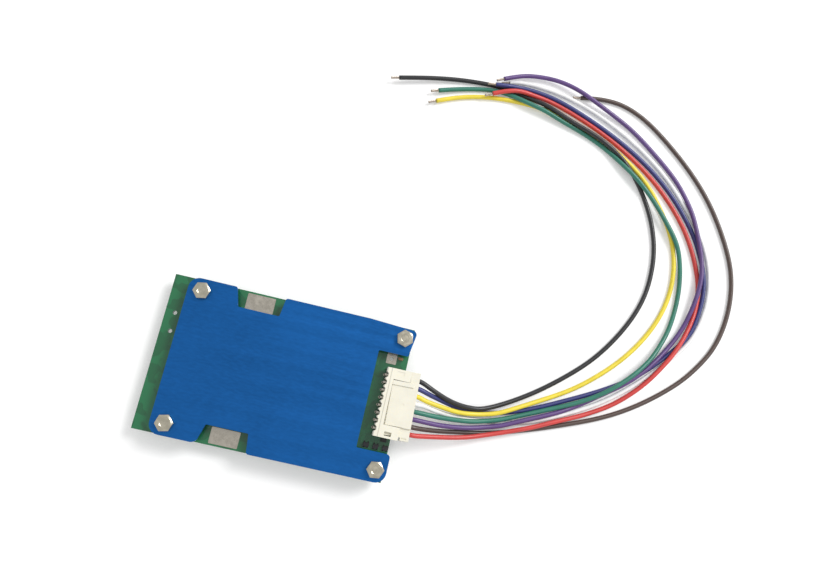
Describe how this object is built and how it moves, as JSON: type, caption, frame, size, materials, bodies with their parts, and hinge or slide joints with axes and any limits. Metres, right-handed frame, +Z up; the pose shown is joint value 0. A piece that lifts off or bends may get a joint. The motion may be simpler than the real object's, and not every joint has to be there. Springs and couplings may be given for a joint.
{
  "type": "battery management board",
  "caption": "Green circuit board under a blue anodised heat plate with notched sides, hex-headed screws, an ivory side-entry plug and coloured leads that curl round beside it.",
  "frame": {"origin": "on the surface that the screw ends stand on, under the middle of the board and its plug", "axes": "+X towards the plug, +Z up from the surface, +Y across the board"},
  "size_m": [0.1924, 0.1559, 0.012],
  "materials": {
    "board_green": "gloss",
    "blue_anodised": "satin",
    "tin": "satin",
    "thermal_pad": "matte",
    "spacer_steel": "satin",
    "screw_steel": "satin",
    "chip_black": "matte",
    "shunt_metal": "satin",
    "resistor": "satin",
    "capacitor": "satin",
    "header_ivory": "satin",
    "plug_ivory": "satin",
    "pin_tin": "gloss",
    "terminal_brass": "satin",
    "bare_wire": "satin",
    "lead_black": "gloss",
    "lead_blue": "gloss",
    "lead_yellow": "gloss",
    "lead_white": "gloss",
    "lead_green": "gloss",
    "lead_purple": "gloss",
    "lead_brown": "gloss",
    "lead_red": "gloss"
  },
  "bodies": {
    "root": {"circuit_board": "board_green", "battery_pad": "tin", "pack_pad": "tin", "test_pad": "tin", "heat_plate": "blue_anodised", "thermal_pad": "thermal_pad", "plate_spacers": "spacer_steel", "plate_screws": "screw_steel", "board_nuts": "screw_steel", "control_chip": "chip_black", "corner_capacitor": "capacitor", "corner_diode": "chip_black", "header_shell": "header_ivory", "header_pins": "pin_tin", "solder_joints": "tin", "plug_housing": "plug_ivory", "crimp_terminals": "terminal_brass", "power_transistor_1": "chip_black", "power_transistor_2": "chip_black", "power_transistor_3": "chip_black", "power_transistor_4": "chip_black", "power_transistor_5": "chip_black", "power_transistor_6": "chip_black", "current_shunt_1": "shunt_metal", "current_shunt_2": "shunt_metal", "bleed_resistor_1": "resistor", "bleed_resistor_2": "resistor", "bleed_resistor_3": "resistor", "bleed_resistor_4": "resistor", "bleed_resistor_5": "resistor", "bleed_resistor_6": "resistor", "bleed_resistor_7": "resistor", "sense_capacitor_1": "capacitor", "sense_capacitor_2": "capacitor", "sense_capacitor_3": "capacitor", "sense_capacitor_4": "capacitor", "corner_transistor_1": "chip_black", "corner_transistor_2": "chip_black", "corner_transistor_3": "chip_black", "lead_black": "lead_black", "tip_black": "bare_wire", "lead_blue": "lead_blue", "tip_blue": "bare_wire", "lead_yellow": "lead_yellow", "tip_yellow": "bare_wire", "lead_white": "lead_white", "tip_white": "bare_wire", "lead_green": "lead_green", "tip_green": "bare_wire", "lead_purple": "lead_purple", "tip_purple": "bare_wire", "lead_brown": "lead_brown", "tip_brown": "bare_wire", "lead_red": "lead_red", "tip_red": "bare_wire"}
  },
  "joints": []
}
